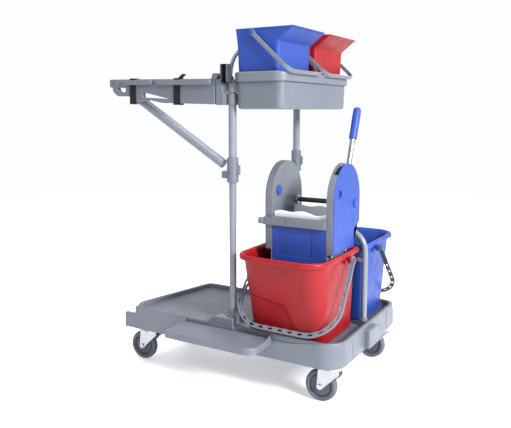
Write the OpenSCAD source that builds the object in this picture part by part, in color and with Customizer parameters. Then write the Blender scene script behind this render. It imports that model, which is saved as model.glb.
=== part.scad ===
// Wheeled cleaning trolley: mop and bucket set with a lever wringer.
// Millimetres, +Z up. X runs along the trolley, -Y is its working side.
// Drawn from the point on the floor under the front right wheel; place() moves
// the origin to the floor, in the middle of the trolley's outline.

/* [Casters] */
// Wheel diameter
wheel_d = 100; // [80:1:110]
// Tyre width
tyre_w = 24; // [20:1:28]
// Offset from the swivel axis to the axle
trail = 40; // [34:1:42]

/* [Deck] */
// Right face of the deck
deck_right = 72; // [60:1:90]
// Left end of the bag platform, at the front
deck_left = -683; // [-720:1:-640]
// Front face of the deck
deck_front = -67.5; // [-75:0.5:-60]
// Back face of the bucket bay
deck_back = 450; // [440:1:470]
// Back face of the bag platform
platform_back = 283; // [260:1:300]
// Underside of the deck skirt
deck_z0 = 125; // [120:1:130]
// Top of the deck rim
deck_z1 = 203; // [198:1:208]
// Wall thickness of the deck moulding
deck_wall = 4; // [3:0.5:5]

/* [Poles] */
// Distance of both poles from the front right wheel, along X
pole_x = -305; // [-315:1:-300]
// Front pole, along Y
pole_y0 = -29; // [-32:1:-25]
// Rear pole, along Y
pole_y1 = 411; // [400:1:420]
// Outside diameter of the lower tubes
pole_lower_d = 22.5; // [21:0.5:23.5]
// Outside diameter of the upper tubes
pole_upper_d = 25; // [24:0.5:27]

/* [Upper tray] */
// Top of the tray rim
tray_top = 986; // [970:1:1000]
// Depth of the tray below its rim
tray_depth = 111; // [90:1:115]

/* [Large buckets] */
// Middle of the red bucket, along X
red_x = -113; // [-115:1:-110]
// Middle of the blue bucket, along X
blue_x = -100; // [-103:1:-97]
// Height of the bucket rim above the floor
bucket_top = 443; // [435:1:450]
// Wall thickness of all buckets
bucket_wall = 3; // [2:0.5:4]

/* [Wringer] */
// Middle of the wringer, along X
wringer_x = -94; // [-96:1:-92]
// Height of the side arches above the floor
arch_top = 714; // [700:1:725]
// Angle that the lever leans back at rest
lever_lean = 21; // [15:1:25]
// Length of the lever above its crank
lever_len = 290; // [260:1:310]

/* [Bag holder] */
// Outer end of the bag frame, along X
bag_left = -808; // [-815:1:-775]
// Angle by which the bag frame rises towards its outer end
bag_rise = 1; // [0:0.1:2]
// Depth of the bag frame, along Y
bag_depth = 330; // [300:1:360]

/* [Hidden] */
$fn = 48;
eps = 0.01;

grey = "#8b919c";
blue = "#3a56b0";
red = "#d93a40";

// ---- helpers -------------------------------------------------------------
bumper = 18;
step_depth = 116;
red_back = 191;
blue_front = 213;
pail_len = 305;
origin_x = (bag_left + deck_right + bumper) / 2;
origin_y = (deck_front - step_depth + blue_front + pail_len) / 2;
module place() {
  translate([-origin_x, -origin_y, 0]) children();
}

// Rounded rectangle given by its four sides; the corners at y0 may have a radius of their own
module rounded(x0, x1, y0, y1, r, r_low = -1) {
  rb = r_low < 0 ? r : r_low;
  translate([x0 + rb, y0]) square([x1 - x0 - 2 * rb, rb]);
  translate([x0, y0 + rb]) square([x1 - x0, y1 - y0 - r - rb]);
  translate([x0 + r, y1 - r]) square([x1 - x0 - 2 * r, r]);
  for (x = [x0 + rb, x1 - rb]) translate([x, y0 + rb]) circle(rb);
  for (x = [x0 + r, x1 - r]) translate([x, y1 - r]) circle(r);
}

module slab(x0, x1, y0, y1, z0, z1, r, r_low = -1) {
  translate([0, 0, z0])
    linear_extrude(z1 - z0) rounded(x0, x1, y0, y1, r, r_low);
}

module block(x0, x1, y0, y1, z0, z1) {
  translate([x0, y0, z0]) cube([x1 - x0, y1 - y0, z1 - z0]);
}

// Solid cylinder along X from x0 to x1
module rod_x(x0, x1, y, z, r) {
  translate([x0, y, z]) rotate([0, 90, 0]) cylinder(h = x1 - x0, r = r);
}

module rod_y(y0, y1, x, z, r) {
  translate([x, y0, z]) rotate([-90, 0, 0]) cylinder(h = y1 - y0, r = r);
}

module rod_z(x, y, z0, z1, r) {
  translate([x, y, z0]) cylinder(h = z1 - z0, r = r);
}

// Profile drawn in the Y-Z plane, extruded along X from x0 to x1
module along_x(x0, x1) {
  translate([x0, 0, 0]) rotate([90, 0, 90]) linear_extrude(x1 - x0) children();
}

// Profile drawn in the X-Z plane, extruded along Y from y0 to y1
module along_y(y0, y1) {
  translate([0, y1, 0]) rotate([90, 0, 0]) linear_extrude(y1 - y0) children();
}

// Points on an elliptical arc
function arc(cx, cy, rx, ry, a0, a1, n) =
  [for (i = [0:n]) let (a = a0 + (a1 - a0) * i / n) [cx + rx * cos(a), cy + ry * sin(a)]];

// Solid that runs straight from one rounded rectangle up to another
module flare(low, high, z0, z1, r0, r1, r_low = -1) {
  hull() {
    translate([0, 0, z0]) linear_extrude(eps)
      rounded(low[0], low[1], low[2], low[3], r0, r_low, $fn = 32);
    translate([0, 0, z1 - eps]) linear_extrude(eps)
      rounded(high[0], high[1], high[2], high[3], r1, r_low, $fn = 32);
  }
}

function grow(box, d) = [box[0] - d, box[1] + d, box[2] - d, box[3] + d];

// ---- deck ----------------------------------------------------------------
bay_floor = deck_z1 - 20;
platform_floor = deck_z1 - 4;
platform_lip = deck_z1 + 11;
bay_left = -264;
boss_top = deck_z1 + 21;
boss = [-352, -284];
bay_waist = -400;
pad = 58;

// Outline of the deck, drawn in by d on every side
module deck_outline(d) {
  polygon(concat(
    [[deck_left + d, deck_front + d]],
    arc(deck_right - 65, deck_front + 65, 65 - d, 65 - d, -90, 0, 10),
    arc(deck_right - 40, deck_back - 40, 40 - d, 40 - d, 0, 90, 10),
    [[bay_waist + 60 + d * 0.5, deck_back - d], [bay_waist + d * 0.5, platform_back - d]],
    arc(-588, platform_back - 25, 25 - d, 25 - d, 90, 167, 6)
  ));
}

// Outline of the bag platform's floor, inside its raised lip
module platform_outline(d) {
  polygon(concat(
    [[deck_left + d, deck_front], [bay_left, deck_front], [bay_left, platform_back - d]],
    arc(-588, platform_back - 25, 25 - d, 25 - d, 90, 167, 6)
  ));
}

module base_deck() {
  color(grey) place() difference() {
    union() {
      translate([0, 0, deck_z0]) linear_extrude(deck_z1 - deck_z0) deck_outline(0);
      // raised lip along the left and back edges of the platform
      translate([0, 0, deck_z1 - 1]) linear_extrude(platform_lip - deck_z1 + 1) difference() {
        intersection() {
          deck_outline(0);
          translate([deck_left - 10, deck_front + 14]) square([290, 400]);
        }
        platform_outline(10);
      }
      // boss around the front pole, and one around the rear pole
      along_y(deck_front, 8) polygon([[boss[0] - 26, deck_z1 - 2], [boss[0], boss_top],
        [boss[1], boss_top], [boss[1], deck_z1 - 2]]);
      slab(boss[0], boss[1], pole_y1 - 36, deck_back, deck_z1 - 2, boss_top, 8);
      // corner tongue and bumper block
      block(deck_left - 43, deck_left + 5, deck_front, deck_front + 15, deck_z0, deck_z1 - 27);
      slab(deck_right - 20, deck_right + bumper, 143, 221, deck_z0 + 4, deck_z1 - 13, 8);
    }
    // bag platform
    translate([0, 0, platform_floor]) linear_extrude(60) intersection() {
      platform_outline(14);
      translate([deck_left, deck_front + 12]) square([boss[0] - deck_left - 30, 500]);
    }
    // bucket bay
    slab(bay_left + 12, deck_right - 12, deck_front + 14, deck_back - 7, bay_floor, 400, 50);
    // dip in the front wall, beside the front pole
    along_y(deck_front - 1, deck_front + 30) polygon([[boss[1] + 1, deck_z1 + 5],
      [boss[1] + 3, 190], [-262, 185.5], [-143, 184.5], [-84, 188], [7, 199], [20, deck_z1 + 5]]);
    // hollow underside, with a pad left over each caster
    translate([0, 0, deck_z0 - 1]) linear_extrude(bay_floor - deck_z0 - deck_wall + 1) difference() {
      deck_outline(deck_wall);
      for (c = [fl, fr, rl, rr]) translate([c[0], c[1]]) square(pad, center = true);
    }
    // sockets for the poles and the left leg of the divider hoop
    for (y = [pole_y0, pole_y1]) rod_z(pole_x, y, bay_floor + 6, 400, pole_lower_d / 2);
    rod_z(hoop_x[0], hoop_y, bay_floor + 4, 400, hoop_r);
  }
}

module step_plate() {
  color(grey) place() difference() {
    union() {
      slab(-470, -145, deck_front - step_depth, deck_front - 20, 169, 190, 20);
      slab(-300, -145, deck_front - step_depth, deck_front - 20, 169, 190, 35);
      block(-470, -145, deck_front - 60, deck_front, 169, 190);
    }
    slab(-466, -149, deck_front - step_depth + 4, deck_front - 6, 160, 186, 18);
  }
}

// ---- poles and collars -----------------------------------------------------
collar_z = 688;
module pole_lower(y) {
  difference() {
    rod_z(pole_x, y, bay_floor + 6, collar_z, pole_lower_d / 2);
    rod_z(pole_x, y, bay_floor + 5, collar_z + 1, pole_lower_d / 2 - 1.5);
  }
}

module pole_upper(y) {
  difference() {
    rod_z(pole_x, y, collar_z + 1, 958, pole_upper_d / 2);
    rod_z(pole_x, y, collar_z, 959, pole_upper_d / 2 - 1.5);
  }
}

module clip_collar(y) {
  difference() {
    union() {
      rod_z(pole_x, y, collar_z - 38, collar_z + 38, 18);
      block(pole_x - 34, pole_x, y - 12, y + 12, collar_z - 26, collar_z - 4);
      block(pole_x, pole_x + 25, y - 6, y + 6, collar_z - 14, collar_z + 16);
      rod_y(y - 21, y - 10, pole_x + 4, collar_z, 7);
    }
    rod_z(pole_x, y, collar_z - 39, collar_z, pole_lower_d / 2);
    rod_z(pole_x, y, collar_z + 1, collar_z + 39, pole_upper_d / 2);
  }
}

module front_pole_lower() { color(grey) place() pole_lower(pole_y0); }
module rear_pole_lower() { color(grey) place() pole_lower(pole_y1); }
module front_pole_upper() { color(grey) place() pole_upper(pole_y0); }
module rear_pole_upper() { color(grey) place() pole_upper(pole_y1); }
module front_clip_collar() { color(grey) place() clip_collar(pole_y0); }
module rear_clip_collar() { color(grey) place() clip_collar(pole_y1); }

module pole_boots() {
  color(grey) place() for (y = [pole_y0, pole_y1]) difference() {
    union() {
      rod_z(pole_x, y, boss_top, boss_top + 5, 21);
      rod_z(pole_x, y, boss_top, boss_top + 22, 16);
    }
    rod_z(pole_x, y, boss_top - 1, boss_top + 23, pole_lower_d / 2);
  }
}

// ---- divider hoop ----------------------------------------------------------
hoop_r = 9;
hoop_x = [-290, 46];
hoop_y = 202;
hoop_z = 490;
hoop_bend = 63;

module divider_hoop() {
  color(grey) place() {
    for (x = hoop_x) rod_z(x, hoop_y, bay_floor + 4, hoop_z - hoop_bend, hoop_r);
    rod_x(hoop_x[0] + hoop_bend, hoop_x[1] - hoop_bend, hoop_y, hoop_z, hoop_r);
    for (side = [0, 1]) translate([hoop_x[side] + (side == 0 ? 1 : -1) * hoop_bend, hoop_y,
      hoop_z - hoop_bend]) rotate([90, 0, 0]) rotate([0, 0, side == 0 ? 90 : 0])
      rotate_extrude(angle = 90) translate([hoop_bend, 0]) circle(hoop_r);
  }
}

module hoop_feet() {
  color(grey) place() for (x = hoop_x) difference() {
    union() {
      if (x > bay_left) slab(x - 11, x + 11, hoop_y - 11, hoop_y + 11, bay_floor, deck_z1 - 6, 4);
      rod_z(x, hoop_y, x < bay_left ? deck_z1 : deck_z1 - 6, deck_z1 + 2, 14);
    }
    rod_z(x, hoop_y, bay_floor + 4, deck_z1 + 13, hoop_r);
  }
}

// Stop peg on the inner side of the right leg
module hoop_clip() {
  color(grey) place() difference() {
    rod_x(hoop_x[1] - 25, hoop_x[1], hoop_y, 397, 8);
    rod_z(hoop_x[1], hoop_y, 385, 409, hoop_r);
  }
}

// ---- upper tray -------------------------------------------------------------
tray = [-294, -111, -60, 443];
tray_rim_h = 29;
tray_floor = tray_top - tray_depth;
tray_draft = 12;

module tray_body() {
  flare(grow(tray, -tray_draft), grow(tray, -9), tray_floor, tray_top - tray_rim_h + 4, 22, 24);
}

module upper_tray() {
  color(grey) place() difference() {
    union() {
      slab(tray[0], tray[1], tray[2], tray[3], tray_top - tray_rim_h, tray_top, 38);
      tray_body();
    }
    flare(grow(tray, -tray_draft - 3), grow(tray, -10), tray_floor + 3, tray_top + 1, 19, 21);
    // hollow below the turned-down rim
    difference() {
      slab(tray[0] + 3, tray[1] - 3, tray[2] + 3, tray[3] - 3, tray_top - tray_rim_h - 1,
        tray_top - 3, 35);
      slab(tray[0] + 8, tray[1] - 8, tray[2] + 8, tray[3] - 8, tray_top - tray_rim_h - 2,
        tray_top, 24);
    }
    for (y = [pole_y0, pole_y1]) rod_z(pole_x, y, 0, 2000, pole_upper_d / 2);
  }
}

// One bracket on each upper tube, reaching under the tray rim
bracket_z = [926, tray_top - tray_rim_h - 1];
module tray_brackets() {
  color(grey) place() for (y = [pole_y0, pole_y1]) difference() {
    union() {
      rod_z(pole_x, y, bracket_z[0], bracket_z[1], 17);
      block(pole_x, tray[0] + 22, y - 10, y + 10, bracket_z[0], bracket_z[1]);
    }
    rod_z(pole_x, y, 0, 2000, pole_upper_d / 2);
    tray_body();
  }
}

handle_r = 6;
handle_rise = 88;
handle_x = pole_x - 7;
module push_handle() {
  color(grey) place() {
    for (y = [pole_y0, pole_y1]) rod_z(handle_x, y, 958, 975, handle_r);
    for (y = [pole_y0, pole_y1]) rod_z(pole_x, y, 958, 966, pole_upper_d / 2 - 1);
    handle_arc();
  }
}

// Arch that joins the two pole tops: two quarter bends and a straight bar
module handle_arc() {
  for (side = [0, 1]) translate([handle_x, side == 0 ? pole_y0 + handle_rise : pole_y1 - handle_rise,
    975]) rotate([90, 0, 90]) rotate([0, 0, side == 0 ? 90 : 0])
    rotate_extrude(angle = 90) translate([handle_rise, 0]) circle(handle_r);
  rod_y(pole_y0 + handle_rise, pole_y1 - handle_rise, handle_x, 975 + handle_rise, handle_r);
}

// Clip that holds the handle of a mop standing on the step plate. Its arm ends in
// a ring around the front leg of the push handle.
module mop_clip() {
  clip_y = pole_y0 - 20;
  color("#3b3f48") place() difference() {
    union() {
      slab(handle_x - 10, handle_x + 16, clip_y - 26, clip_y + 4, 956, 1010, 4);
      block(handle_x - 4, handle_x + 4, clip_y, pole_y0, 966, 975);
      rod_z(handle_x, pole_y0, 966, 975, handle_r + 3.5);
    }
    slab(handle_x - 6, handle_x + 12, clip_y - 40, clip_y, 950, 1020, 5);
    rod_z(handle_x, pole_y0, 950, 1020, handle_r);
  }
}

// ---- casters ----------------------------------------------------------------
// Swivel axis, direction of the trail in degrees, and whether it has a brake
fr = [31, 2, 183];
fl = [-647, -8, 184];
rr = [41, 405, 180];
rl = [-590, 222, 184];
wheel_r = wheel_d / 2;
plate_z = deck_z0 - 6;
bolt_at = 18;
plate_half = 25;

module at_caster(c) {
  place() translate([c[0], c[1], 0]) rotate([0, 0, c[2]]) children();
}

module caster_plates() {
  color("silver") for (c = [fl, fr, rl, rr]) at_caster(c) {
    difference() {
      slab(-plate_half, plate_half, -plate_half, plate_half, plate_z, deck_z0, 6);
      for (x = [-bolt_at, bolt_at], y = [-bolt_at, bolt_at]) rod_z(x, y, 0, 200, 3.1);
    }
    rod_z(0, 0, plate_z - 3, plate_z, 14);
  }
}

module caster_bolts() {
  color("silver") for (c = [fl, fr, rl, rr]) at_caster(c)
    for (x = [-bolt_at, bolt_at], y = [-bolt_at, bolt_at]) {
      rod_z(x, y, plate_z - 3, plate_z, 5);
      rod_z(x, y, plate_z - 1, deck_z0, 3.1);
    }
}

// Fork with its axle bolt; the wheel turns on the bolt
module fork(c, braked) {
  color("silver") at_caster(c) {
    difference() {
      union() {
        rod_z(0, 0, plate_z - 15, plate_z - 3.3, 22);
        slab(-20, trail + 8, -18, 18, plate_z - 15, plate_z - 12, 6);
        for (s = [-1, 1]) fork_cheek(s);
      }
      rod_y(-40, 40, trail, wheel_r, 4);
    }
    if (braked) rod_y(-17.8, 17.8, brake_pin[0], brake_pin[1], 2.5);
    rod_y(-21, 21, trail, wheel_r, 4);
    for (s = [-1, 1]) rod_y(s < 0 ? -22 : 17.9, s < 0 ? -17.9 : 22, trail, wheel_r, 7);
  }
}

module fork_cheek(s) {
  along_y(s < 0 ? -17.8 : 15.3, s < 0 ? -15.3 : 17.8) polygon(concat(
    [[-20, plate_z - 12], [-20, plate_z - 24]],
    arc(trail, wheel_r, 11, 11, 200, 340, 10),
    [[trail + 6, plate_z - 24], [trail + 6, plate_z - 12]]
  ));
}

module hub(c) {
  color("#4f5460") at_caster(c) difference() {
    union() {
      rod_y(-9, 9, trail, wheel_r, wheel_r - 13);
      rod_y(-14.5, 14.5, trail, wheel_r, 11);
    }
    rod_y(-20, 20, trail, wheel_r, 4.05);
    for (s = [-1, 1]) difference() {
      rod_y(s < 0 ? -10 : 6, s < 0 ? -6 : 10, trail, wheel_r, wheel_r - 18);
      rod_y(-11, 11, trail, wheel_r, 13);
    }
  }
}

module tyre(c) {
  color("#6b7079") at_caster(c) translate([trail, 0, wheel_r]) rotate([90, 0, 0])
    rotate_extrude() polygon([[wheel_r - 13, -tyre_w / 2 + 1], [wheel_r - 11, -tyre_w / 2],
      [wheel_r - 5, -tyre_w / 2], [wheel_r - 1, -tyre_w / 2 + 4], [wheel_r, 0],
      [wheel_r - 1, tyre_w / 2 - 4], [wheel_r - 5, tyre_w / 2], [wheel_r - 11, tyre_w / 2],
      [wheel_r - 13, tyre_w / 2 - 1]]);
}

// Foot brake on a pin between the fork's cheeks: a pedal outside, a shoe above the tyre
brake_pin = [-13, 97];
module brake(c) {
  color("#23262d") at_caster(c) difference() {
    union() {
      along_y(-14.5, 14.5) polygon([[-22, 88], [-21, 96], [-17, 102], [-13, 103], [-6, 98],
        [-5, 76], [-9, 75], [-12, 90], [-16, 92], [-20, 88]]);
      rod_y(-14.5, 14.5, brake_pin[0], brake_pin[1], 5.5);
    }
    rod_y(-16, 16, brake_pin[0], brake_pin[1], 2.55);
  }
}

module fl_fork() { fork(fl, true); }
module fr_fork() { fork(fr, true); }
module rl_fork() { fork(rl, false); }
module rr_fork() { fork(rr, false); }
module fl_hub() { hub(fl); }
module fr_hub() { hub(fr); }
module rl_hub() { hub(rl); }
module rr_hub() { hub(rr); }
module fl_tyre() { tyre(fl); }
module fr_tyre() { tyre(fr); }
module rl_tyre() { tyre(rl); }
module rr_tyre() { tyre(rr); }
module fl_brake() { brake(fl); }
module fr_brake() { brake(fr); }

// ---- large buckets ------------------------------------------------------------
pail_half = 148.5;
pail_foot_half = 128;
pail_foot_end = 222;
back_r = 14;
rim_w = 13;
rim_h = 14;
trunnion_r = 5;
bail_half = 160;
bail_len = 262;
bail_bow = 8;
bail_w = 16;
bail_t = 6;
trunnion_z = bucket_top - 23;

// Large bucket in its own frame: X across, Y from its upright back wall (0)
// towards its flared front wall (305), with its trunnions at trunnion_y
trunnion_y = 95;
module large_bucket() {
  top = [-pail_half + rim_w, pail_half - rim_w, rim_w, pail_len - rim_w];
  foot = [-pail_foot_half, pail_foot_half, 20, pail_foot_end];
  difference() {
    union() {
      flare(foot, top, bay_floor, bucket_top, 35, 60, back_r);
      slab(-pail_half, pail_half, 0, pail_len, bucket_top - rim_h, bucket_top, 72, back_r + 5);
      for (s = [-1, 1]) {
        rod_x(s < 0 ? -bail_half - 8 : 125, s < 0 ? -125 : bail_half + 8, trunnion_y, trunnion_z,
          trunnion_r);
        rod_x(s < 0 ? -bail_half - 8 : bail_half + 4.3, s < 0 ? -bail_half - 4.3 : bail_half + 8,
          trunnion_y, trunnion_z, 8);
        slab(s < 0 ? -pail_half + 8 : 125, s < 0 ? -125 : pail_half - 8, trunnion_y - 14,
          trunnion_y + 14, trunnion_z - 12, bucket_top - rim_h, 3);
      }
    }
    flare(grow(foot, -bucket_wall), grow(top, -bucket_wall), bay_floor + bucket_wall,
      bucket_top + 1, 32, 57, back_r - bucket_wall);
    // hollow of the rolled rim
    difference() {
      slab(-pail_half + 3, pail_half - 3, 3, pail_len - 3, bucket_top - rim_h - 1,
        bucket_top - 3, 69, back_r + 2);
      slab(-pail_half + rim_w, pail_half - rim_w, rim_w, pail_len - rim_w, bucket_top - 40,
        bucket_top, 60, back_r);
    }
  }
}

// Outline of a bail: straight legs, round corners and a straight grip
function bail_edge(half, bow, len, bend, d) = concat(
  [[-half - d, 0]],
  arc(-half - bow + bend, len - bend, bend + d, bend + d, 180, 90, 12),
  arc(half + bow - bend, len - bend, bend + d, bend + d, 90, 0, 12),
  [[half + d, 0]]
);

function reversed(list) = [for (i = [len(list) - 1:-1:0]) list[i]];

// Bail with an eye of radius eye and half width e at each end
module bail(half, bow, len, bend, w, t, eye, e) {
  difference() {
    union() {
      translate([0, 0, -t / 2]) linear_extrude(t) polygon(concat(
        bail_edge(half, bow, len, bend, w / 2), reversed(bail_edge(half, bow, len, bend, -w / 2))));
      for (s = [-1, 1]) rod_x(s * half - e, s * half + e, 0, 0, eye);
    }
    for (s = [-1, 1]) rod_x(s * half - 20, s * half + 20, 0, 0, trunnion_r + 0.06);
    // room for the trunnion's head
    for (s = [-1, 1]) rod_x(s < 0 ? -half - 20 : half + e, s < 0 ? -half - e : half + 20, 0, 0, 9);
  }
}

red_bail_angle = 229.3;
blue_bail_angle = -50;

module red_bucket() {
  color(red) place() translate([red_x, red_back, 0]) mirror([0, 1, 0]) large_bucket();
}

module blue_bucket() {
  color(blue) place() translate([blue_x, blue_front, 0]) large_bucket();
}

module red_bail() {
  color(grey) place() translate([red_x, red_back - trunnion_y, trunnion_z])
    rotate([red_bail_angle, 0, 0]) bail(bail_half, bail_bow, bail_len, 95, bail_w, bail_t, 12, 4);
}

module blue_bail() {
  color("#454a54") place() translate([blue_x, blue_front + trunnion_y, trunnion_z])
    rotate([blue_bail_angle, 0, 0]) bail(bail_half, bail_bow, bail_len, 95, bail_w, bail_t, 12, 4);
}

// ---- small buckets --------------------------------------------------------------
small_x = -284;
small_w = 148;
small_l = 220;
small_top = 1113;
small_y = [-45, 213];
spout_z = 1071;
spout_x = 194;
small_pivot = [61, 1100];
small_half = 118.5;
small_out = small_half - small_l / 2;
small_bail_len = 171;
small_bail_angle = 42.6;

module small_bucket() {
  floor_z = tray_floor + 3.2;
  difference() {
    union() {
      flare([6, small_w - 8, 8, small_l - 8], [0, small_w, 0, small_l], floor_z, small_top, 16, 12);
      flare([60, small_w - 2, 3, small_l - 3], [60, spout_x, 0, small_l], spout_z, small_top - 2, 10, 6);
      slab(-3, small_w, -2, small_l + 2, small_top - 3, small_top, 13);
      for (s = [0, 1]) {
        rod_y(s == 0 ? -small_out - 6 : small_l - 4, s == 0 ? 4 : small_l + small_out + 6,
          small_pivot[0], small_pivot[1], trunnion_r);
        rod_y(s == 0 ? -small_out - 6 : small_l + small_out + 3, s == 0 ? -small_out - 3 :
          small_l + small_out + 6, small_pivot[0], small_pivot[1], 7);
      }
    }
    flare([8.5, small_w - 10.5, 10.5, small_l - 10.5], [2.5, small_w - 2.5, 2.5, small_l - 2.5],
      floor_z + 3, small_top + 1, 14, 10);
    flare([60, small_w - 4, 5.5, small_l - 5.5], [60, spout_x - 2.5, 2.5, small_l - 2.5],
      spout_z, small_top + 1, 8, 5);
  }
}

module small_bail(i) {
  place() translate([small_x + small_pivot[0], small_y[i] + small_l / 2, small_pivot[1]])
    rotate([0, small_bail_angle, 0]) rotate([0, 0, -90])
    bail(small_half, 0, small_bail_len, 34, 5, 12, 9, 2.6);
}

module small_blue_bucket() { color(blue) place() translate([small_x, small_y[0], 0]) small_bucket(); }
module small_red_bucket() { color(red) place() translate([small_x, small_y[1], 0]) small_bucket(); }
module small_blue_bail() { color(grey) small_bail(0); }
module small_red_bail() { color(grey) small_bail(1); }

// ---- wringer ------------------------------------------------------------------------
// Side assembly: distances from the wringer's middle plane
shell_in = 90.5;
shell_plate = 94;
cover_in = 112;
cover_out = 114.5;
arch_y = [5, 213];
arch_base = 600;
arch_mid = (arch_y[0] + arch_y[1]) / 2;
arch_half = (arch_y[1] - arch_y[0]) / 2;
crank = [50, 625];
tie = [173, 582];
press_pin_z = 440;
front_pin_y = 30;
rear_pin_y = 140;
lever_base = [105, 609];

function arch_edge(d) = arc(arch_mid, arch_base, arch_half - d, arch_top - arch_base - d, 0, 180, 40);

module cover_outline(d) {
  polygon(concat(arch_edge(d), [[arch_y[0] + d, 446 + d], [169 - d, 446 + d], [169 - d, 503],
    [arch_y[1] - d, 522]]));
}

// Plate with two pairs of feet that stand on the bucket's floor
module shell_outline() {
  polygon(concat(arch_edge(0), [[arch_y[0], 570], [arch_y[0], 400], [14, 186.1], [44, 186.1], [50, 330], [118, 330],
    [124, 186.1], [152, 186.1], [160, 446], [169, 447], [169, 503], [arch_y[1], 522]]));
}

// Side shell, drawn for the right-hand side. The right one has a slot over its top for the lever.
module shell(slotted) {
  difference() {
    union() {
      along_x(shell_in, shell_plate) shell_outline();
      along_x(shell_in, cover_in - 0.2) difference() {
        cover_outline(0);
        cover_outline(3.5);
        if (slotted) translate([38, 678]) square([118, 100]);
      }
      for (p = [[front_pin_y, press_pin_z], [rear_pin_y, press_pin_z]])
        rod_x(shell_plate - 1, shell_plate + 6, p[0], p[1], 9);
    }
    rod_x(shell_in - 1, cover_in, crank[0], crank[1], 6.05);
    rod_x(shell_in - 1, shell_plate + 9, tie[0], tie[1], 5.2);
    for (y = [front_pin_y, rear_pin_y]) rod_x(shell_in - 1, shell_plate + 7, y, press_pin_z, 5.05);
  }
}

module cover(bored) {
  difference() {
    union() {
      along_x(cover_in, cover_out) cover_outline(1);
      rod_x(cover_in, cover_out + 1.5, crank[0], crank[1], 19);
    }
    if (bored) rod_x(cover_in - 1, cover_out + 5, crank[0], crank[1], 14);
    rod_x(cover_in - 1, cover_out + 5, tie[0], tie[1], 5.2);
  }
}

module at_wringer() {
  place() translate([wringer_x, 0, 0]) children();
}

module right_shell() { color(grey) at_wringer() shell(true); }
module left_shell() { color(grey) at_wringer() mirror([1, 0, 0]) shell(false); }
module right_cover() { color(blue) at_wringer() cover(true); }
module left_cover() { color(blue) at_wringer() mirror([1, 0, 0]) cover(false); }

// Open basket between the shells, with drain holes in its floor
module wringer_basket() {
  color(blue) at_wringer() difference() {
    union() {
      block(-shell_in, shell_in, 6, 9.5, 404, 521.5);
      block(-shell_in, shell_in, 6, 155.5, 404, 408);
      block(-shell_in, shell_in, 152, 155.5, 404, 470);
    }
    for (i = [-4:4], j = [0:6]) rod_z(i * 18, 24 + j * 19, 403, 409, 4);
    // shallow panel in the front face
    block(-72, 44, 5, 7, 430, 505);
  }
}

module front_crossbar() {
  color(grey) at_wringer() {
    difference() {
      block(-shell_in, shell_in, -4, 9.5, 522, 550);
      block(-42, -40.5, -5, -3, 521, 551);
    }
    block(-cover_out - 2, -shell_in + 6, -4.5, 4.8, 522, 547);
    rod_x(-cover_out - 16, -cover_out - 2, -3, 534, 10);
  }
}

module tie_rod() {
  color("#35383f") at_wringer() {
    rod_x(-shell_in, shell_in, tie[0], tie[1], 8);
    rod_x(-cover_out - 2, -shell_in, tie[0], tie[1], 5);
    rod_x(shell_in, cover_out + 2, tie[0], tie[1], 5);
  }
}

module tie_rod_nuts() {
  color("silver") at_wringer() {
    difference() {
      translate([-shell_in, tie[0], tie[1]]) rotate([0, 90, 0]) cylinder(h = 9, r = 15, $fn = 6);
      rod_x(-shell_in - 1, -shell_in + 10, tie[0], tie[1], 8);
    }
    for (s = [-1, 1]) difference() {
      rod_x(s < 0 ? -cover_out - 4 : cover_out, s < 0 ? -cover_out : cover_out + 4, tie[0], tie[1], 13);
      rod_x(s < 0 ? -cover_out - 2 : cover_out - 1, s < 0 ? -cover_out + 1 : cover_out + 2, tie[0],
        tie[1], 5);
    }
  }
}

// Caps over the crank's bearing: one inside the left shell, and a cup in the right cover
module shaft_caps() {
  color(blue) at_wringer() {
    rod_x(-shell_in, -shell_in + 4, crank[0], crank[1], 16);
    difference() {
      rod_x(106, cover_out + 1, crank[0], crank[1], 14);
      rod_x(108, cover_out + 2, crank[0], crank[1], 11.5);
    }
  }
}

module lever_crank() {
  color("silver") at_wringer() {
    rod_x(88, 105.5, crank[0], crank[1], 6);
    difference() {
      union() {
        rod_x(96, 101, crank[0], crank[1], 20);
        along_x(96, 101) polygon([[crank[0], crank[1] + 18], [crank[0], crank[1] - 18],
          [lever_base[0] - 8, lever_base[1] - 10], [lever_base[0] + 8, lever_base[1] - 4],
          [lever_base[0] + 10, lever_base[1] + 14]]);
      }
      lever_bar(0, 60, 8);
    }
  }
}

lever_x = 103;
module lever_bar(from, to, r) {
  translate([lever_x, lever_base[0], lever_base[1]]) rotate([-lever_lean, 0, 0])
    translate([0, 0, from]) cylinder(h = to - from, r = r);
}

grip_len = 104;
module lever_tube() {
  color("silver") at_wringer() difference() {
    lever_bar(0, lever_len - 6, 8);
    lever_bar(-1, lever_len - 7, 6.5);
  }
}

module lever_grip() {
  color(blue) at_wringer() difference() {
    union() {
      lever_bar(lever_len - grip_len, lever_len - 4, 12.5);
      lever_bar(lever_len - 5, lever_len, 10.5);
    }
    lever_bar(lever_len - grip_len - 1, lever_len - 6, 8);
  }
}

// Press plate hinged on pins at its foot, leaning by lean degrees, with a wavy top
module press_plate(pin_y, lean) {
  half = 87;
  top = 125;
  translate([0, pin_y, press_pin_z]) rotate([lean, 0, 0]) {
    translate([0, 4.5, 0]) rotate([90, 0, 0]) linear_extrude(9) polygon(concat(
      [[-half, -2], [half, -2]],
      [for (i = [0:24]) let (x = half - i * half / 12) [x, top + 6 * cos(x * 3.2) * sin(x * 1.1 + 40)]]
    ));
    rod_x(-shell_plate - 5, shell_plate + 5, 0, 0, 5);
  }
}

module front_press_plate() { color("#c3c6cc") at_wringer() press_plate(front_pin_y, 6); }
module rear_press_plate() { color("#aeb2ba") at_wringer() press_plate(rear_pin_y, -8); }

// ---- bag holder ---------------------------------------------------------------------
bag_front = -62;
bag_right = -357;
web_t = 16;
bag_hinge = [-346, 976];
brace_top = [-670, 902];
brace_foot = [-346, 712];
brace_d = 30;
brace_y = pole_y0 + 2;
bag_z = [942, 968];

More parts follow.
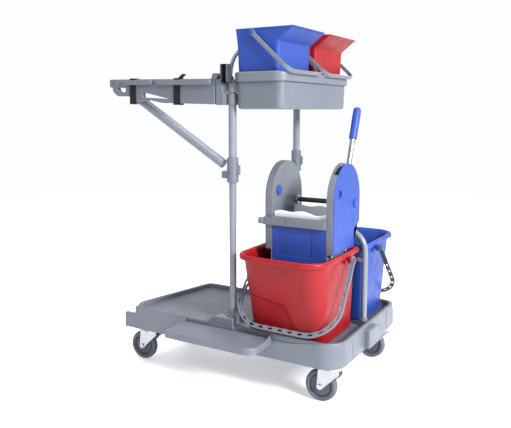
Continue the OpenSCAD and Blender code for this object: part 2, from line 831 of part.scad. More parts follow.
// Turns the level bag frame about its hinge to its rising angle
module tipped() {
  place() translate([bag_hinge[0], 0, bag_hinge[1]]) rotate([0, bag_rise, 0])
    translate([-bag_hinge[0], 0, -bag_hinge[1]]) children();
}

module bag_frame() {
  color(grey) tipped() difference() {
    union() {
      difference() {
        slab(bag_left, bag_right, bag_front, bag_front + bag_depth, bag_z[0], bag_z[1], 60);
        slab(bag_left + 14, bag_right - 14, bag_front + 14, bag_front + bag_depth - 14, bag_z[0] - 1,
          bag_z[1] + 1, 46);
      }
      along_y(bag_front, bag_front + web_t) difference() {
        polygon([[-740, 912], [-760, 926], [-764, 942], [-745, 968], [-362, 968], [-357, 984],
          [-345.5, 984], [-345.5, 890], [-553, 892], [-604, 901], [-655, 892], [-692, 912]]);
        polygon([[-631, 926], [-631, 909], [-523, 905]]);
        polygon([[-740, 941], [-731, 926], [-706, 926], [-704, 941]]);
      }
      rod_y(bag_front, bag_front + web_t, bag_hinge[0], bag_hinge[1], 9);
      rod_y(bag_front, bag_front + web_t, brace_top[0], brace_top[1], 13);
    }
    rod_y(bag_front - 1, bag_front + web_t + 1, bag_hinge[0], bag_hinge[1], 4.05);
    rod_y(bag_front - 1, bag_front + web_t + 1, brace_top[0], brace_top[1], 5.05);
    // room for the bracket's block
    block(-346.4, -300, -100, 0, 800, 950);
  }
}

// Bracket on the front pole that carries the bag frame's hinge pin
module bag_bracket() {
  ear_y = bag_front + web_t + 0.3;
  color(grey) place() difference() {
    union() {
      rod_z(pole_x, pole_y0, 888, 924, 17);
      block(-344, pole_x - 12, bag_front, pole_y0, 888, 924);
      block(-344, -323, bag_front, ear_y + 8, 888, 966);
      along_y(ear_y, ear_y + 8) polygon([[-344, 888], [-320, 888], [-320, 950], [-337, 980],
        [-346, 986], [-354, 977], [-344, 955]]);
      rod_y(bag_front - 3, ear_y + 4, bag_hinge[0], bag_hinge[1], 4);
      rod_y(bag_front - 3, bag_front - 0.3, bag_hinge[0], bag_hinge[1], 8);
    }
    rod_z(pole_x, pole_y0, 800, 990, pole_upper_d / 2);
  }
}

module bag_clamp_bars() {
  color(grey) tipped()
    for (x = [[-706, -588], [-568, -358]]) {
      along_y(bag_front - 11, bag_front - 3) rounded(x[0], x[1], 949, 965, 7);
      for (post = [x[0] + 9, x[1] - 9]) rod_y(bag_front - 4, bag_front, post, 957, 5);
    }
}

// Brace tube, from its pin on the bag frame down towards the front collar
module bag_brace() {
  run = brace_foot[0] - brace_top[0];
  fall = brace_top[1] - brace_foot[1];
  color(grey) tipped() {
    difference() {
      translate([brace_top[0], brace_y, brace_top[1]]) rotate([0, 90 + atan2(fall, run), 0]) difference() {
        translate([0, 0, -12]) cylinder(h = norm([run, fall]) + 25, r = brace_d / 2);
        translate([0, 0, 14]) cylinder(h = norm([run, fall]) - 5, r = brace_d / 2 - 1.5);
      }
      rod_y(brace_y - 20, brace_y + 20, brace_top[0], brace_top[1], 5);
    }
    rod_y(bag_front, brace_y + 15, brace_top[0], brace_top[1], 5);
  }
}

// Strap wound round the front of the bag frame between heights z0 and z1
strap_w = 25;
module strap(x, z0, z1) {
  difference() {
    block(x, x + strap_w, bag_front - 2.6, bag_front + web_t + 2.6, z0 - 2.5, z1 + 2.5);
    block(x - 1, x + strap_w + 1, bag_front - 0.2, bag_front + web_t + 0.2, z0, z1);
  }
}

module inner_strap() {
  color("#17181b") tipped() {
    strap(-503, 889, 968.2);
    translate([-483, bag_front - 2.4, 969.6]) rotate([0, -38, 0]) cube([20, 20, 2.4]);
  }
}

// Its back stays open below the frame, where the brace's pin passes
module outer_strap() {
  color("#17181b") tipped() difference() {
    strap(-684, 888.8, 968.2);
    block(-690, -650, bag_front + web_t + 0.1, bag_front + web_t + 10, 880, 940);
  }
}

base_deck();
step_plate();
front_pole_lower();
rear_pole_lower();
front_pole_upper();
rear_pole_upper();
front_clip_collar();
rear_clip_collar();
pole_boots();
divider_hoop();
hoop_feet();
hoop_clip();
upper_tray();
tray_brackets();
push_handle();
mop_clip();
caster_plates();
caster_bolts();
fl_fork();
fr_fork();
rl_fork();
rr_fork();
fl_hub();
fr_hub();
rl_hub();
rr_hub();
fl_tyre();
fr_tyre();
rl_tyre();
rr_tyre();
fl_brake();
fr_brake();
red_bucket();
red_bail();
blue_bucket();
blue_bail();
small_blue_bucket();
small_blue_bail();
small_red_bucket();
small_red_bail();
left_shell();
left_cover();
right_shell();
right_cover();
wringer_basket();
front_crossbar();
tie_rod();
tie_rod_nuts();
shaft_caps();
lever_crank();
lever_tube();
lever_grip();
front_press_plate();
rear_press_plate();
bag_frame();
bag_bracket();
bag_clamp_bars();
bag_brace();
inner_strap();
outer_strap();
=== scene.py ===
"""Looks of the cleaning trolley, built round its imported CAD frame.

Shapes are drawn in the CAD source's millimetres and brought into the frame by to_frame().
"""

import math

import bmesh
import bpy
from mathutils import Matrix, Vector
from mathutils.geometry import tessellate_polygon


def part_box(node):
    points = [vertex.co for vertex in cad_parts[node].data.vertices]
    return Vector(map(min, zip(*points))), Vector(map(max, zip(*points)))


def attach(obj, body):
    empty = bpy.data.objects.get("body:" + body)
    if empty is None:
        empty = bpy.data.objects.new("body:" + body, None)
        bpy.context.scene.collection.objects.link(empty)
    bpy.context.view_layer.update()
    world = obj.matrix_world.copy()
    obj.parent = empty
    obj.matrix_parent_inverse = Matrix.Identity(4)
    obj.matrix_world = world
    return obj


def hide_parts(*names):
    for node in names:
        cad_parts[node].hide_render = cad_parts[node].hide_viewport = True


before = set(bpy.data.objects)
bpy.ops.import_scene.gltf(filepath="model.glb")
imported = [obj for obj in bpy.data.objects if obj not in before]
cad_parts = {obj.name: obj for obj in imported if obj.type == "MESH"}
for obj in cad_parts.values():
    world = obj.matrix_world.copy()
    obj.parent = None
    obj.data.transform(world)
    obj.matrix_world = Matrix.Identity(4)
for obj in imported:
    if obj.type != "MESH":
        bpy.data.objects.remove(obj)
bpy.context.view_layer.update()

# Where the drawing's origin lies in the frame, from the tray's two known sides
TRAY = (-294, -111, -60, 443)
tray_low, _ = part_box("upper_tray")
ORIGIN = Vector((TRAY[0] - tray_low.x * 1000, TRAY[2] - tray_low.y * 1000, 0))


def to_frame(p):
    return (Vector(p) - ORIGIN) / 1000


# ---- shapes ---------------------------------------------------------------


def ring(x0, x1, y0, y1, r, z, side=12, corner=8, low=None):
    """Rounded rectangle at height z, anticlockwise from its front right corner.

    The corners at y0 have radius low where it is given.
    """
    q = r if low is None else low
    places = [(x1 - q, y0 + q, -90, q), (x1 - r, y1 - r, 0, r), (x0 + r, y1 - r, 90, r), (x0 + q, y0 + q, 180, q)]
    points = []
    for i, (cx, cy, start, own) in enumerate(places):
        for k in range(corner + 1):
            a = math.radians(start + 90 * k / corner)
            points.append((cx + own * math.cos(a), cy + own * math.sin(a), z))
        nx, ny, nstart, other = places[(i + 1) % 4]
        b = math.radians(nstart)
        last, following = points[-1], (nx + other * math.cos(b), ny + other * math.sin(b))
        for k in range(1, side):
            t = k / side
            points.append((last[0] + (following[0] - last[0]) * t, last[1] + (following[1] - last[1]) * t, z))
    return points


def loft(rings, start=True, end=True):
    """Skin over rings with the same number of points."""
    n = len(rings[0])
    verts = [tuple(p) for r in rings for p in r]
    faces = []
    for k in range(len(rings) - 1):
        a, b = k * n, (k + 1) * n
        for i in range(n):
            j = (i + 1) % n
            faces.append((a + i, a + j, b + j, b + i))
    if start:
        faces.append(tuple(reversed(range(n))))
    if end:
        faces.append(tuple(range((len(rings) - 1) * n, len(rings) * n)))
    return verts, faces


def join(*shapes):
    """Several shapes as one."""
    verts, faces = [], []
    for v, f in shapes:
        base = len(verts)
        verts += v
        faces += [tuple(i + base for i in face) for face in f]
    return verts, faces


def moved(shape, matrix):
    return [tuple(matrix @ Vector(v)) for v in shape[0]], shape[1]


def warped(shape, rule):
    """The shape with each point put where the rule says."""
    return [tuple(rule(*v)) for v in shape[0]], shape[1]


def bevelled(shape, width, segments=3, angle=35):
    """The shape with its sharp edges rounded."""
    mesh = bpy.data.meshes.new("work")
    mesh.from_pydata(shape[0], [], shape[1])
    bm = bmesh.new()
    bm.from_mesh(mesh)
    bmesh.ops.remove_doubles(bm, verts=bm.verts, dist=0.001)
    bmesh.ops.recalc_face_normals(bm, faces=bm.faces)
    sharp = [e for e in bm.edges if len(e.link_faces) == 2 and e.calc_face_angle(0) > math.radians(angle)]
    bmesh.ops.bevel(bm, geom=sharp, offset=width, segments=segments, profile=0.5, affect="EDGES", clamp_overlap=True)
    bm.verts.ensure_lookup_table()
    out = [tuple(v.co) for v in bm.verts], [tuple(v.index for v in f.verts) for f in bm.faces]
    bm.free()
    bpy.data.meshes.remove(mesh)
    return out


def along(axis, u, v, w):
    """Point with (u, v) in the profile's plane and w along the axis."""
    return {"x": (w, u, v), "y": (u, w, v), "z": (u, v, w)}[axis]


def extrude(outline, w0, w1, axis="z", bevel=0.0, segments=3, angle=35):
    """Prism over an outline, along an axis from w0 to w1."""
    n = len(outline)
    verts = [along(axis, p[0], p[1], w) for w in (w0, w1) for p in outline]
    faces = [(i, (i + 1) % n, n + (i + 1) % n, n + i) for i in range(n)]
    faces += [tuple(reversed(range(n))), tuple(range(n, 2 * n))]
    return bevelled((verts, faces), bevel, segments, angle) if bevel else (verts, faces)


def lathe(profile, centre, axis="z", n=48):
    """Solid of revolution of (radius, height) pairs round an axis through centre."""
    verts, faces = [], []
    for r, h in profile:
        for i in range(n):
            a = 2 * math.pi * i / n
            p = along(axis, r * math.cos(a), r * math.sin(a), h)
            verts.append(tuple(c + q for c, q in zip(centre, p)))
    for k in range(len(profile) - 1):
        for i in range(n):
            j = (i + 1) % n
            faces.append((k * n + i, k * n + j, (k + 1) * n + j, (k + 1) * n + i))
    if profile[0] != profile[-1]:
        faces += [tuple(range(n)), tuple(range((len(profile) - 1) * n, len(profile) * n))]
    else:
        faces = [tuple(i % ((len(profile) - 1) * n) for i in f) for f in faces]
        verts = verts[: (len(profile) - 1) * n]
    return verts, faces


def button(r, h0, h1, centre, axis, edge=1.0, n=40):
    """Short cylinder with rounded ends."""
    return lathe(
        [(r - edge, h0), (r - edge * 0.3, h0 + edge * 0.3), (r, h0 + edge), (r, h1 - edge),
         (r - edge * 0.3, h1 - edge * 0.3), (r - edge, h1)], centre, axis, n)


def collar(r, bore, h0, h1, centre, axis, edge=1.0, n=40):
    """Short tube with rounded rims."""
    profile = [(bore, h0 + edge), (bore + edge * 0.3, h0 + edge * 0.3), (bore + edge, h0), (r - edge, h0),
               (r - edge * 0.3, h0 + edge * 0.3), (r, h0 + edge), (r, h1 - edge), (r - edge * 0.3, h1 - edge * 0.3),
               (r - edge, h1), (bore + edge, h1), (bore + edge * 0.3, h1 - edge * 0.3), (bore, h1 - edge)]
    return lathe(profile + [profile[0]], centre, axis, n)


def fillet(points, step=9):
    """Closed outline through (x, y, radius) corners, with long sides divided."""
    out, n = [], len(points)
    for i, (x, y, r) in enumerate(points):
        p = Vector((x, y))
        u = (Vector(points[i - 1][:2]) - p).normalized()
        v = (Vector(points[(i + 1) % n][:2]) - p).normalized()
        if r <= 0:
            out.append(p)
            continue
        half = math.acos(max(-1, min(1, u.dot(v)))) / 2
        first, last = p + u * r / math.tan(half), p + v * r / math.tan(half)
        centre = p + (u + v).normalized() * (r / math.sin(half))
        a0 = math.atan2(first.y - centre.y, first.x - centre.x)
        a1 = math.atan2(last.y - centre.y, last.x - centre.x)
        turn = (a1 - a0 + math.pi) % (2 * math.pi) - math.pi
        count = max(3, int(abs(turn) * r / 5) + 2)
        for k in range(count + 1):
            a = a0 + turn * k / count
            out.append(centre + Vector((math.cos(a), math.sin(a))) * r)
    dense = []
    for i, p in enumerate(out):
        q = out[(i + 1) % len(out)]
        parts = max(1, int((q - p).length / step))
        dense += [p + (q - p) * k / parts for k in range(parts)]
    return dense


def inset(outline, d):
    """The anticlockwise outline drawn in by d, or out where d is negative."""
    out, n = [], len(outline)
    for i, p in enumerate(outline):
        e0 = (p - outline[i - 1]).normalized()
        e1 = (outline[(i + 1) % n] - p).normalized()
        n0, n1 = Vector((-e0.y, e0.x)), Vector((-e1.y, e1.x))
        m = (n0 + n1).normalized()
        out.append(p + m * d / max(0.4, m.dot(n0)))
    return out


def step_rings(outline, steps):
    """Rings of the outline, one for each (inset, height)."""
    return [[(p.x, p.y, z) for p in inset(outline, d)] for d, z in steps]


def sweep(path, section, up):
    """Closed section of (side, up) pairs carried along an open path of points."""
    rings = []
    for i, p in enumerate(path):
        p = Vector(p)
        a, b = Vector(path[max(0, i - 1)]), Vector(path[min(len(path) - 1, i + 1)])
        t = (b - a).normalized()
        side = t.cross(Vector(up)).normalized()
        top = side.cross(t)
        rings.append([tuple(p + side * s + top * h) for s, h in section])
    return loft(rings)


def bar(x0, x1, y0, y1, z0, z1, edge=1.5, segments=3):
    """Block with rounded edges."""
    return extrude([(x0, y0), (x1, y0), (x1, y1), (x0, y1)], z0, z1, "z", edge, segments)


def smooth(a, b, t):
    """0 where t is at a, 1 where it is at b, with a gentle start and end."""
    t = max(0.0, min(1.0, (t - a) / (b - a)))
    return t * t * (3 - 2 * t)


# ---- materials --------------------------------------------------------------


def linear(code):
    """Linear colour of a #rrggbb code."""
    values = [int(code[i:i + 2], 16) / 255 for i in (1, 3, 5)]
    return [v / 12.92 if v <= 0.04045 else ((v + 0.055) / 1.055) ** 2.4 for v in values] + [1.0]


class Graph:
    """Short names for building a material's nodes."""

    def __init__(self, name):
        self.material = bpy.data.materials.new(name)
        self.material.use_nodes = True
        self.tree = self.material.node_tree
        self.shader = self.tree.nodes["Principled BSDF"]
        self.place = self.node("ShaderNodeTexCoord").outputs["Object"]

    def node(self, kind, **values):
        made = self.tree.nodes.new(kind)
        for key, value in values.items():
            setattr(made, key, value)
        return made

    def link(self, a, b):
        self.tree.links.new(a, b)

    def scaled(self, scale):
        mapping = self.node("ShaderNodeMapping")
        mapping.inputs["Scale"].default_value = scale
        self.link(self.place, mapping.inputs["Vector"])
        return mapping.outputs["Vector"]

    def noise(self, scale, detail=3, rough=0.5, stretch=None, distort=0.0):
        made = self.node("ShaderNodeTexNoise")
        made.inputs["Scale"].default_value = scale
        made.inputs["Detail"].default_value = detail
        made.inputs["Roughness"].default_value = rough
        made.inputs["Distortion"].default_value = distort
        self.link(self.scaled(stretch) if stretch else self.place, made.inputs["Vector"])
        return made.outputs["Fac"]

    def span(self, value, a, b, c, d):
        """value taken from the range a to b into c to d."""
        made = self.node("ShaderNodeMapRange")
        for key, v in zip(("From Min", "From Max", "To Min", "To Max"), (a, b, c, d)):
            made.inputs[key].default_value = v
        self.link(value, made.inputs["Value"])
        return made.outputs["Result"]

    def mix(self, factor, a, b):
        """Colour a where factor is 0 and b where it is 1; sockets 6 and 7 are a mix node's colours."""
        made = self.node("ShaderNodeMix", data_type="RGBA")
        for key, value in ((0, factor), (6, a), (7, b)):
            if isinstance(value, (list, tuple, float, int)):
                made.inputs[key].default_value = value
            else:
                self.link(value, made.inputs[key])
        return made.outputs[2]

    def bump(self, height, strength, distance, normal=None):
        made = self.node("ShaderNodeBump")
        made.inputs["Strength"].default_value = strength
        made.inputs["Distance"].default_value = distance
        self.link(height, made.inputs["Height"])
        if normal:
            self.link(normal, made.inputs["Normal"])
        return made.outputs["Normal"]

    def edges(self, low=0.505, high=0.6):
        """1 along convex edges, 0 on flat faces."""
        made = self.node("ShaderNodeNewGeometry")
        return self.span(made.outputs["Pointiness"], low, high, 0, 1)

    def done(self, colour, rough, normal, metal=0.0, gloss=0.5):
        self.link(colour, self.shader.inputs["Base Color"])
        self.link(rough, self.shader.inputs["Roughness"])
        self.link(normal, self.shader.inputs["Normal"])
        self.shader.inputs["Metallic"].default_value = metal
        self.shader.inputs["Specular IOR Level"].default_value = gloss
        return self.material


def shade(colour, k):
    """The colour k times as bright."""
    return [min(1.0, c * k) for c in colour[:3]] + [1.0]


def plastic(name, code, rough=0.42, grain=0.12, gloss=0.35, edge_highlight=0.25):
    """Moulded plastic: fine spark-eroded grain, flow marks, and a painted highlight that lightens convex edges."""
    g, c = Graph(name), linear(code)
    cloud = g.mix(g.span(g.noise(7, 4), 0.3, 0.7, 0, 1), shade(c, 0.92), shade(c, 1.07))
    speck = g.mix(g.span(g.noise(420, 2), 0.4, 0.6, 0, 0.5), cloud, shade(c, 0.94))
    # Painted highlight: convex edges are painted lighter, as if they caught the light.
    colour = g.mix(g.span(g.edges(), 0, 1, 0, edge_highlight), speck, shade(c, 1.5))
    marks = g.span(g.noise(26, 5, 0.6), 0.35, 0.7, rough - 0.06, rough + 0.12)
    fine = g.bump(g.noise(1500, 2), grain, 0.0004)
    normal = g.bump(g.noise(35, 2), 0.10, 0.0015, fine)
    return g.done(colour, marks, normal, gloss=gloss)


def metal(name, code, rough=0.3, scratch_scale=(1, 1, 14), spangle=0.0):
    """Drawn metal with fine scratches, and the cells of a zinc coat where spangle is given."""
    g, c = Graph(name), linear(code)
    tone = g.mix(g.span(g.noise(30, 4), 0.3, 0.7, 0, 1), shade(c, 0.86), shade(c, 1.06))
    if spangle:
        cells = g.node("ShaderNodeTexVoronoi")
        cells.inputs["Scale"].default_value = 140
        g.link(g.place, cells.inputs["Vector"])
        tone = g.mix(g.span(cells.outputs["Distance"], 0, 0.7, 0, spangle), tone, shade(c, 0.6))
    drawn = g.noise(260, 3, 0.6, scratch_scale)
    rub = g.span(drawn, 0.3, 0.75, rough - 0.05, rough + 0.14)
    return g.done(tone, rub, g.bump(drawn, 0.08, 0.0003), metal=1.0)


def painted(name, code, rough=0.33):
    """Powder coat with a low orange peel."""
    g, c = Graph(name), linear(code)
    cloud = g.mix(g.span(g.noise(12, 4), 0.3, 0.7, 0, 1), shade(c, 0.93), shade(c, 1.06))
    return g.done(cloud, g.span(g.noise(40, 4), 0.3, 0.7, rough - 0.05, rough + 0.1),
                  g.bump(g.noise(330, 2), 0.16, 0.0006))


def rubber(name, code, rough=0.72, dust=0.3):
    """Rubber with dust in patches, and a painted highlight that makes its convex edges paler."""
    g, c = Graph(name), linear(code)
    dusty = g.mix(g.span(g.noise(48, 6, 0.7), 0.45, 0.75, 0, dust), c, shade(c, 1.9))
    # Painted highlight: convex edges are painted paler, as if they caught the light.
    colour = g.mix(g.span(g.edges(), 0, 1, 0, 0.2), dusty, shade(c, 1.5))
    fine = g.bump(g.noise(800, 3), 0.22, 0.0005)
    return g.done(colour, g.span(g.noise(80, 4), 0.3, 0.7, rough - 0.08, rough + 0.12), fine, gloss=0.25)


GREY = plastic("grey_plastic", "#585c66")
DARK = plastic("dark_plastic", "#2d3139", 0.45)
BAIL_DARK = plastic("dark_bail_plastic", "#3a3f49", 0.4)
HUB = plastic("hub_plastic", "#3c3f4a", 0.5)
LIGHT = plastic("light_plastic", "#c4c8cf", 0.36)
BLUE = plastic("blue_plastic", "#223a82", 0.4, 0.09, 0.22)
RED = plastic("red_plastic", "#7b0d14", 0.4, 0.09, 0.22)
PAINT = painted("pole_paint", "#656a74")
ZINC = metal("zinc_steel", "#b9bcc1", 0.38, (1, 1, 6), 0.5)
DARK_STEEL = metal("dark_steel", "#4a4d55", 0.4)
CHROME = metal("chrome", "#a6a9b0", 0.14, (1, 1, 10))
TYRE = rubber("tyre_rubber", "#4d5159", 0.68)
STRAP = rubber("strap_rubber", "#0c0c0e", 0.7, 0.05)


# ---- making pieces ------------------------------------------------------------


def finish_mesh(ob):
    """Shades the object's large faces flat up to their rounded edges."""
    weighted = ob.modifiers.new("weighted", "WEIGHTED_NORMAL")
    weighted.keep_sharp = True
    weighted.weight = 60


def piece(name, shape, material, body, nodes=(), angle=42):
    """A mesh from a shape in drawing millimetres, riding on a body."""
    mesh = bpy.data.meshes.new(name)
    mesh.from_pydata([to_frame(v) for v in shape[0]], [], shape[1])
    bm = bmesh.new()
    bm.from_mesh(mesh)
    bmesh.ops.remove_doubles(bm, verts=bm.verts, dist=2e-6)
    bmesh.ops.recalc_face_normals(bm, faces=bm.faces)
    bm.to_mesh(mesh)
    bm.free()
    mesh.shade_smooth()
    mesh.set_sharp_from_angle(angle=math.radians(angle))
    mesh.materials.append(material)
    ob = bpy.data.objects.new(name, mesh)
    bpy.context.scene.collection.objects.link(ob)
    finish_mesh(ob)
    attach(ob, body)
    if nodes:
        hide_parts(*nodes)
    return ob


def dress(node, material, bevel=0.0):
    """A CAD node as it is, with a finish and its sharp edges broken by bevel millimetres."""
    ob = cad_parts[node]
    ob.data.materials.clear()
    ob.data.materials.append(material)
    if bevel:
        weld = ob.modifiers.new("weld", "WELD")
        weld.merge_threshold = 0.00002
        flat = ob.modifiers.new("flat", "DECIMATE")
        flat.decimate_type = "DISSOLVE"
        flat.angle_limit = math.radians(0.6)
        edge = ob.modifiers.new("edge", "BEVEL")
        edge.width = bevel / 1000
        edge.segments = 3
        edge.limit_method = "ANGLE"
        edge.angle_limit = math.radians(40)
        edge.use_clamp_overlap = False
        split = ob.modifiers.new("split", "EDGE_SPLIT")
        split.split_angle = math.radians(42)
        finish_mesh(ob)


# ---- deck ---------------------------------------------------------------------

LEFT, RIGHT, FRONT, BACK = -683, 72, -67.5, 450
SKIRT, BAY_FLOOR, PLATFORM_FLOOR, RIM, BOSS_TOP = 125, 183, 199, 203, 224
LEFT_SLANT, LIP_START, LIP_RISE = 0.2132, 200.5, 11
# Right side of the poles' bosses, where the dip in the front wall starts, the dip's far end and its levels
BOSS_RIGHT, DIP_RIGHT, DIP_BASE, DIP_LEVEL, DIP_DEPTH = -284, 28, 184, 184.6, 18.4
# Where each caster's kingpin stands, and the way its wheel trails in degrees
CASTERS = {"fl": (-647, -8, 184), "fr": (31, 2, 183), "rl": (-590, 222, 184), "rr": (41, 405, 180)}

OUTER = fillet([(LEFT, FRONT, 6), (RIGHT, FRONT, 65), (RIGHT, BACK, 40), (-340, BACK, 12), (-400, 283, 14),
                (-608.3, 283, 25)])
BAY = fillet([(-252, -53.5, 50), (60, -53.5, 50), (60, 443, 50), (-252, 443, 50)])
PLATFORM = fillet([(-666, -55, 7), (-382, -55, 7), (-382, 269, 7), (-597, 269, 15)])


def dip(x):
    """Height of the front wall's edge, lower beside the front pole."""
    return min(RIM, max(DIP_LEVEL, RIM - DIP_DEPTH * smooth(BOSS_RIGHT, -272, x) * smooth(24, -110, x) ** 0.8))


def deck_rule(x, y, z):
    """Raises the platform's lip and lowers the front wall's dip."""
    if y < -49 and z > DIP_BASE and BOSS_RIGHT < x < DIP_RIGHT:
        z = DIP_BASE + (z - DIP_BASE) * (dip(x) - DIP_BASE) / (RIM - DIP_BASE)
    left = LEFT + LEFT_SLANT * (y - FRONT)
    if z > LIP_START:
        on_left = smooth(-56, -40, y) * smooth(24, 17, x - left) * (1 if y < 290 else 0)
        on_back = smooth(258, 263, y) * smooth(-396, -424, x)
        z += LIP_RISE * max(on_left, on_back)
    return x, y, z


def deck():
    outer = step_rings(OUTER, [(4, 179), (4, 127), (3, 125.4), (1.6, SKIRT), (0.4, 125.8), (0, 127.5), (0, 160),
                               (0, 186), (0, 197.5), (0.5, 200), (1.6, 202), (3.2, RIM)])
    bay = step_rings(BAY, [(-3.2, RIM), (-1.6, 202), (-0.5, 200), (0, 197.5), (0.3, 190), (1.5, 186.5),
                           (4, 184), (8, BAY_FLOOR)])
    low = step_rings(PLATFORM, [(-3.5, RIM), (-1.5, 202.3), (0, 201), (1.2, 199.6), (4, PLATFORM_FLOOR)])
    outlines = [outer[-1], bay[0], low[0]]
    flat = [tuple(p) for o in outlines for p in o]
    cap = flat, [tuple(t) for t in tessellate_polygon([[Vector((p[0], p[1], 0)) for p in o] for o in outlines])]
    shell = join(loft(outer, True, False), loft(bay, False, True), loft(low, False, True), cap)
    shell = warped(shell, deck_rule)
    extras = [
        # ramped boss at the front pole and block at the rear one
        extrude([(-384, 200), (-378, 203.5), (-354, 223), (-350, BOSS_TOP), (BOSS_RIGHT, BOSS_TOP),
                 (BOSS_RIGHT, 184.4), (-300, 184.4), (-300, 200)], -67.3, 8, "y", 2),
        bar(-352, BOSS_RIGHT, 375, 449.8, 198, BOSS_TOP, 5),
        # tongue and bumper block
        bar(-726, -676, -67.4, -52.5, SKIRT, 176, 2.5),
        bar(40, 90, 143, 221, 129, 190, 6),
        # thin upright ribs on the right face
        bar(68, 73, 42, 44.5, 130, 196, 0.8),
        bar(68, 73, 350, 352.5, 130, 196, 0.8),
    ]
    for cx, cy, turn in CASTERS.values():
        spin = Matrix.Translation((cx, cy, 0)) @ Matrix.Rotation(math.radians(turn), 4, "Z")
        extras.append(moved(bar(-29, 29, -29, 29, SKIRT, 181, 1.5), spin))
    return join(shell, *extras)


piece("deck_moulding", deck(), GREY, "trolley", ["base_deck"], 50)

# ---- step plate -----------------------------------------------------------------

STEP_LEFT, STEP_RIGHT, STEP_FRONT, STEP_BACK = -470, -145, -183.5, -66
STEP = fillet([(STEP_LEFT, STEP_FRONT, 20), (STEP_RIGHT, STEP_FRONT, 35), (STEP_RIGHT, STEP_BACK, 1),
               (STEP_LEFT, STEP_BACK, 1)])
plate = loft(step_rings(STEP, [(4, 186), (4, 171), (2.5, 169), (0.8, 169.6), (0, 171.5), (0, 186), (0.9, 188.6),
                               (2.6, 189.8), (4.5, 190)]))
gussets = [extrude([(-67, 170), (-67, 200), (-110, 189)], x, x + 5, "x", 1.2) for x in (-469, -151)]
ribs = [bar(-450 + 48 * i, -447 + 48 * i, -178, -70, 172, 187, 0.6) for i in range(7)]
piece("step_tread", join(plate, *gussets, *ribs), GREY, "trolley", ["step_plate"])

# ---- poles, collars, hoop -------------------------------------------------------

for end in ("front", "rear"):
    dress(end + "_pole_lower", PAINT)
    dress(end + "_pole_upper", PAINT)
    dress(end + "_clip_collar", GREY, 1.6)
for node in ("pole_boots", "hoop_feet", "hoop_clip", "tray_brackets", "bag_bracket"):
    dress(node, GREY, 1.2)
dress("divider_hoop", PAINT)
dress("push_handle", PAINT)
dress("mop_clip", DARK, 1.0)

# ---- upper tray -------------------------------------------------------------------


def tray():
    def at(d, z, r):
        """Ring of the tray's outline drawn in by d, with corners of radius r."""
        return ring(TRAY[0] + d, TRAY[1] - d, TRAY[2] + d, TRAY[3] - d, r, z, 20, 10)

    steps = [(30, 875, 14), (18, 875.6, 18), (13.5, 878, 20.5), (12, 883, 22), (11.6, 890, 22), (9.6, 950, 24),
             (9.2, 972, 24), (4, 974, 34), (3, 972, 35), (2.6, 958, 35.4), (1.4, 957, 36.6), (0.3, 957.8, 37.7),
             (0, 960, 38), (0, 978, 38), (0.6, 982, 37.4), (2.4, 985, 35.6), (5, 986, 33), (8.2, 985.5, 29),
             (10.6, 983, 25), (11.6, 978, 22), (14.6, 886, 19), (17, 881, 17), (21, 878.6, 14), (30, 878, 12)]
    return loft([at(*s) for s in steps])


piece("tray_shell", tray(), GREY, "trolley", ["upper_tray"])

# ---- casters ------------------------------------------------------------------------

WHEEL_R, TRAIL = 50, 40


def wheel_profile(side):
    """Hub's outline, from its middle plane outwards."""
    return [(4.1, side * 14.5), (9.6, side * 14.5), (11, side * 13.4), (11.4, side * 9), (12.6, side * 8.2),
            (31.2, side * 8.2), (31.6, side * 4), (33.4, side * 4), (33.8, side * 8.6), (35.6, side * 9),
            (37, side * 8.6)]


def hub_shape():
    profile = wheel_profile(-1) + wheel_profile(1)[::-1]
    return lathe(profile + [profile[0]], (0, 0, 0), "y", 56)


def tyre_shape():
    half = [(37.1, 10.6), (38.2, 11.8), (41.4, 12), (41.8, 11.2), (42.6, 11.2), (43, 12), (44.6, 12), (47, 10.6),
            (48.9, 7.4), (49.8, 3.6), (50, 0)]
    profile = half + [(r, -h) for r, h in half[-2::-1]]
    return lathe(profile + [profile[0]], (0, 0, 0), "y", 72)


for key, (cx, cy, turn) in CASTERS.items():
    axle = (Matrix.Translation((cx, cy, 0)) @ Matrix.Rotation(math.radians(turn), 4, "Z")
            @ Matrix.Translation((TRAIL, 0, WHEEL_R)))
    piece(key + "_wheel_centre", moved(hub_shape(), axle), HUB, key + "_wheel", [key + "_hub"])
    piece(key + "_tread", moved(tyre_shape(), axle), TYRE, key + "_wheel", [key + "_tyre"])
    dress(key + "_fork", ZINC, 0.8)
for node in ("fl_brake", "fr_brake"):
    dress(node, DARK, 1.2)
dress("caster_plates", ZINC, 0.8)
dress("caster_bolts", ZINC, 0.6)

# ---- large buckets --------------------------------------------------------------------

BUCKET_TOP, PAIL_LEN, PAIL_HALF = 443, 305, 148.5
# Where a bail's pins lie in Y and Z, and half the bail's width
TRUNNION, BAIL_HALF = (95, 420), 160


